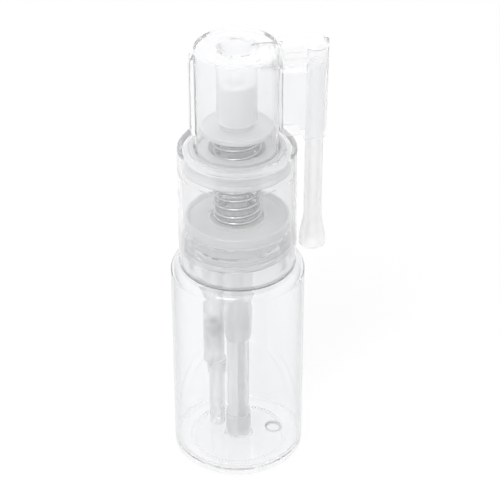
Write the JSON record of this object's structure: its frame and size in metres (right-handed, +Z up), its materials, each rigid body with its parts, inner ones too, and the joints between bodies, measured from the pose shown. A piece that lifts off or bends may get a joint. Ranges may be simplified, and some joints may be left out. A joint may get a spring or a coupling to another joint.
{
  "type": "powder spray bottle",
  "caption": "Clear screw-top bottle with an air pump that puffs powder out of a hanging nozzle tube on a swivelling elbow, worked by a spring-loaded push button.",
  "frame": {"origin": "middle of the box that the whole part fills, on the surface it stands on; the bottle's axis is at x = -2.7 mm", "axes": "+Z up along the bottle's axis, +X towards the elbow and its nozzle tube"},
  "size_m": [0.0403, 0.035, 0.12],
  "materials": {
    "clear_bottle": "clear blow-moulded plastic, glossy inside and out",
    "clear_moulding": "clear injection-moulded plastic, glossy",
    "frosted_white": "translucent natural white plastic, satin",
    "nozzle_white": "translucent natural white plastic tube, satin",
    "soft_seal": "pale soft elastomer, dull",
    "spring_steel": "bright drawn steel wire"
  },
  "bodies": {
    "bottle": {"bottle": "clear_bottle"},
    "neck_seal": {"neck_gasket": "soft_seal"},
    "pump": {"cylinder_base": "frosted_white", "collar": "clear_moulding", "dip_tube": "frosted_white", "intake_foot": "frosted_white", "valve_housing": "frosted_white", "air_valve": "soft_seal", "valve_retainer": "frosted_white", "air_tube": "frosted_white", "spring": "spring_steel"},
    "plunger": {"button": "clear_moulding", "stem": "frosted_white", "stem_seal": "soft_seal", "piston": "frosted_white", "swivel_washer": "soft_seal"},
    "nozzle_arm": {"elbow": "clear_moulding", "swivel_seal": "soft_seal", "nozzle_tube": "nozzle_white"}
  },
  "joints": [
    {"name": "collar_lift", "type": "slide", "parent": "bottle", "child": "neck_seal", "axis": [0, 0, 1], "range_m": [0, 0.0055]},
    {"name": "collar_turn", "type": "hinge", "parent": "neck_seal", "child": "pump", "pos_m": [-0.0027, 0, 0.065], "axis": [0, 0, 1], "range_deg": [0, 540]},
    {"name": "press", "type": "slide", "parent": "pump", "child": "plunger", "axis": [0, 0, -1], "range_m": [0, 0.002], "stiffness_N_per_m": 260, "springref_m": -0.012, "deforming": ["spring"]},
    {"name": "nozzle_turn", "type": "hinge", "parent": "plunger", "child": "nozzle_arm", "pos_m": [0.0085, 0, 0.1162], "axis": [1, 0, 0], "continuous": true}
  ],
  "couplings": [
    {"joint": "collar_lift", "follows": "collar_turn", "m_per_rad": 0.00057296}
  ]
}
